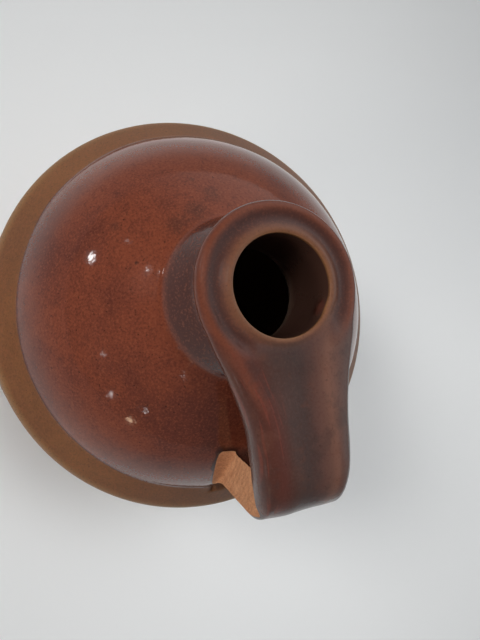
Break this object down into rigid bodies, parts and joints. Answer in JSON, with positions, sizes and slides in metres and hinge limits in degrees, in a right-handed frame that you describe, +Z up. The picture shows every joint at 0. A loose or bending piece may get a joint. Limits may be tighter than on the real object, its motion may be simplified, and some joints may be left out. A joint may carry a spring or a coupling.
{
  "type": "jug",
  "caption": "Stoneware shoulder jug with a short neck, a collar round the mouth and a strap handle that flows out of the collar, its leg chipped along one side.",
  "frame": {"origin": "centre of the foot, on the floor", "axes": "+Z up along the axis of the mouth, +X from the axis out to the handle, and the XZ plane is the middle plane of the handle"},
  "size_m": [0.152, 0.152, 0.2273],
  "materials": {
    "stoneware": "gloss brown glaze on the dome, neck, collar and handle, satin tan on the shoulder and wall, bare clay in the break"
  },
  "bodies": {
    "root": {"jug": "stoneware"}
  },
  "joints": []
}
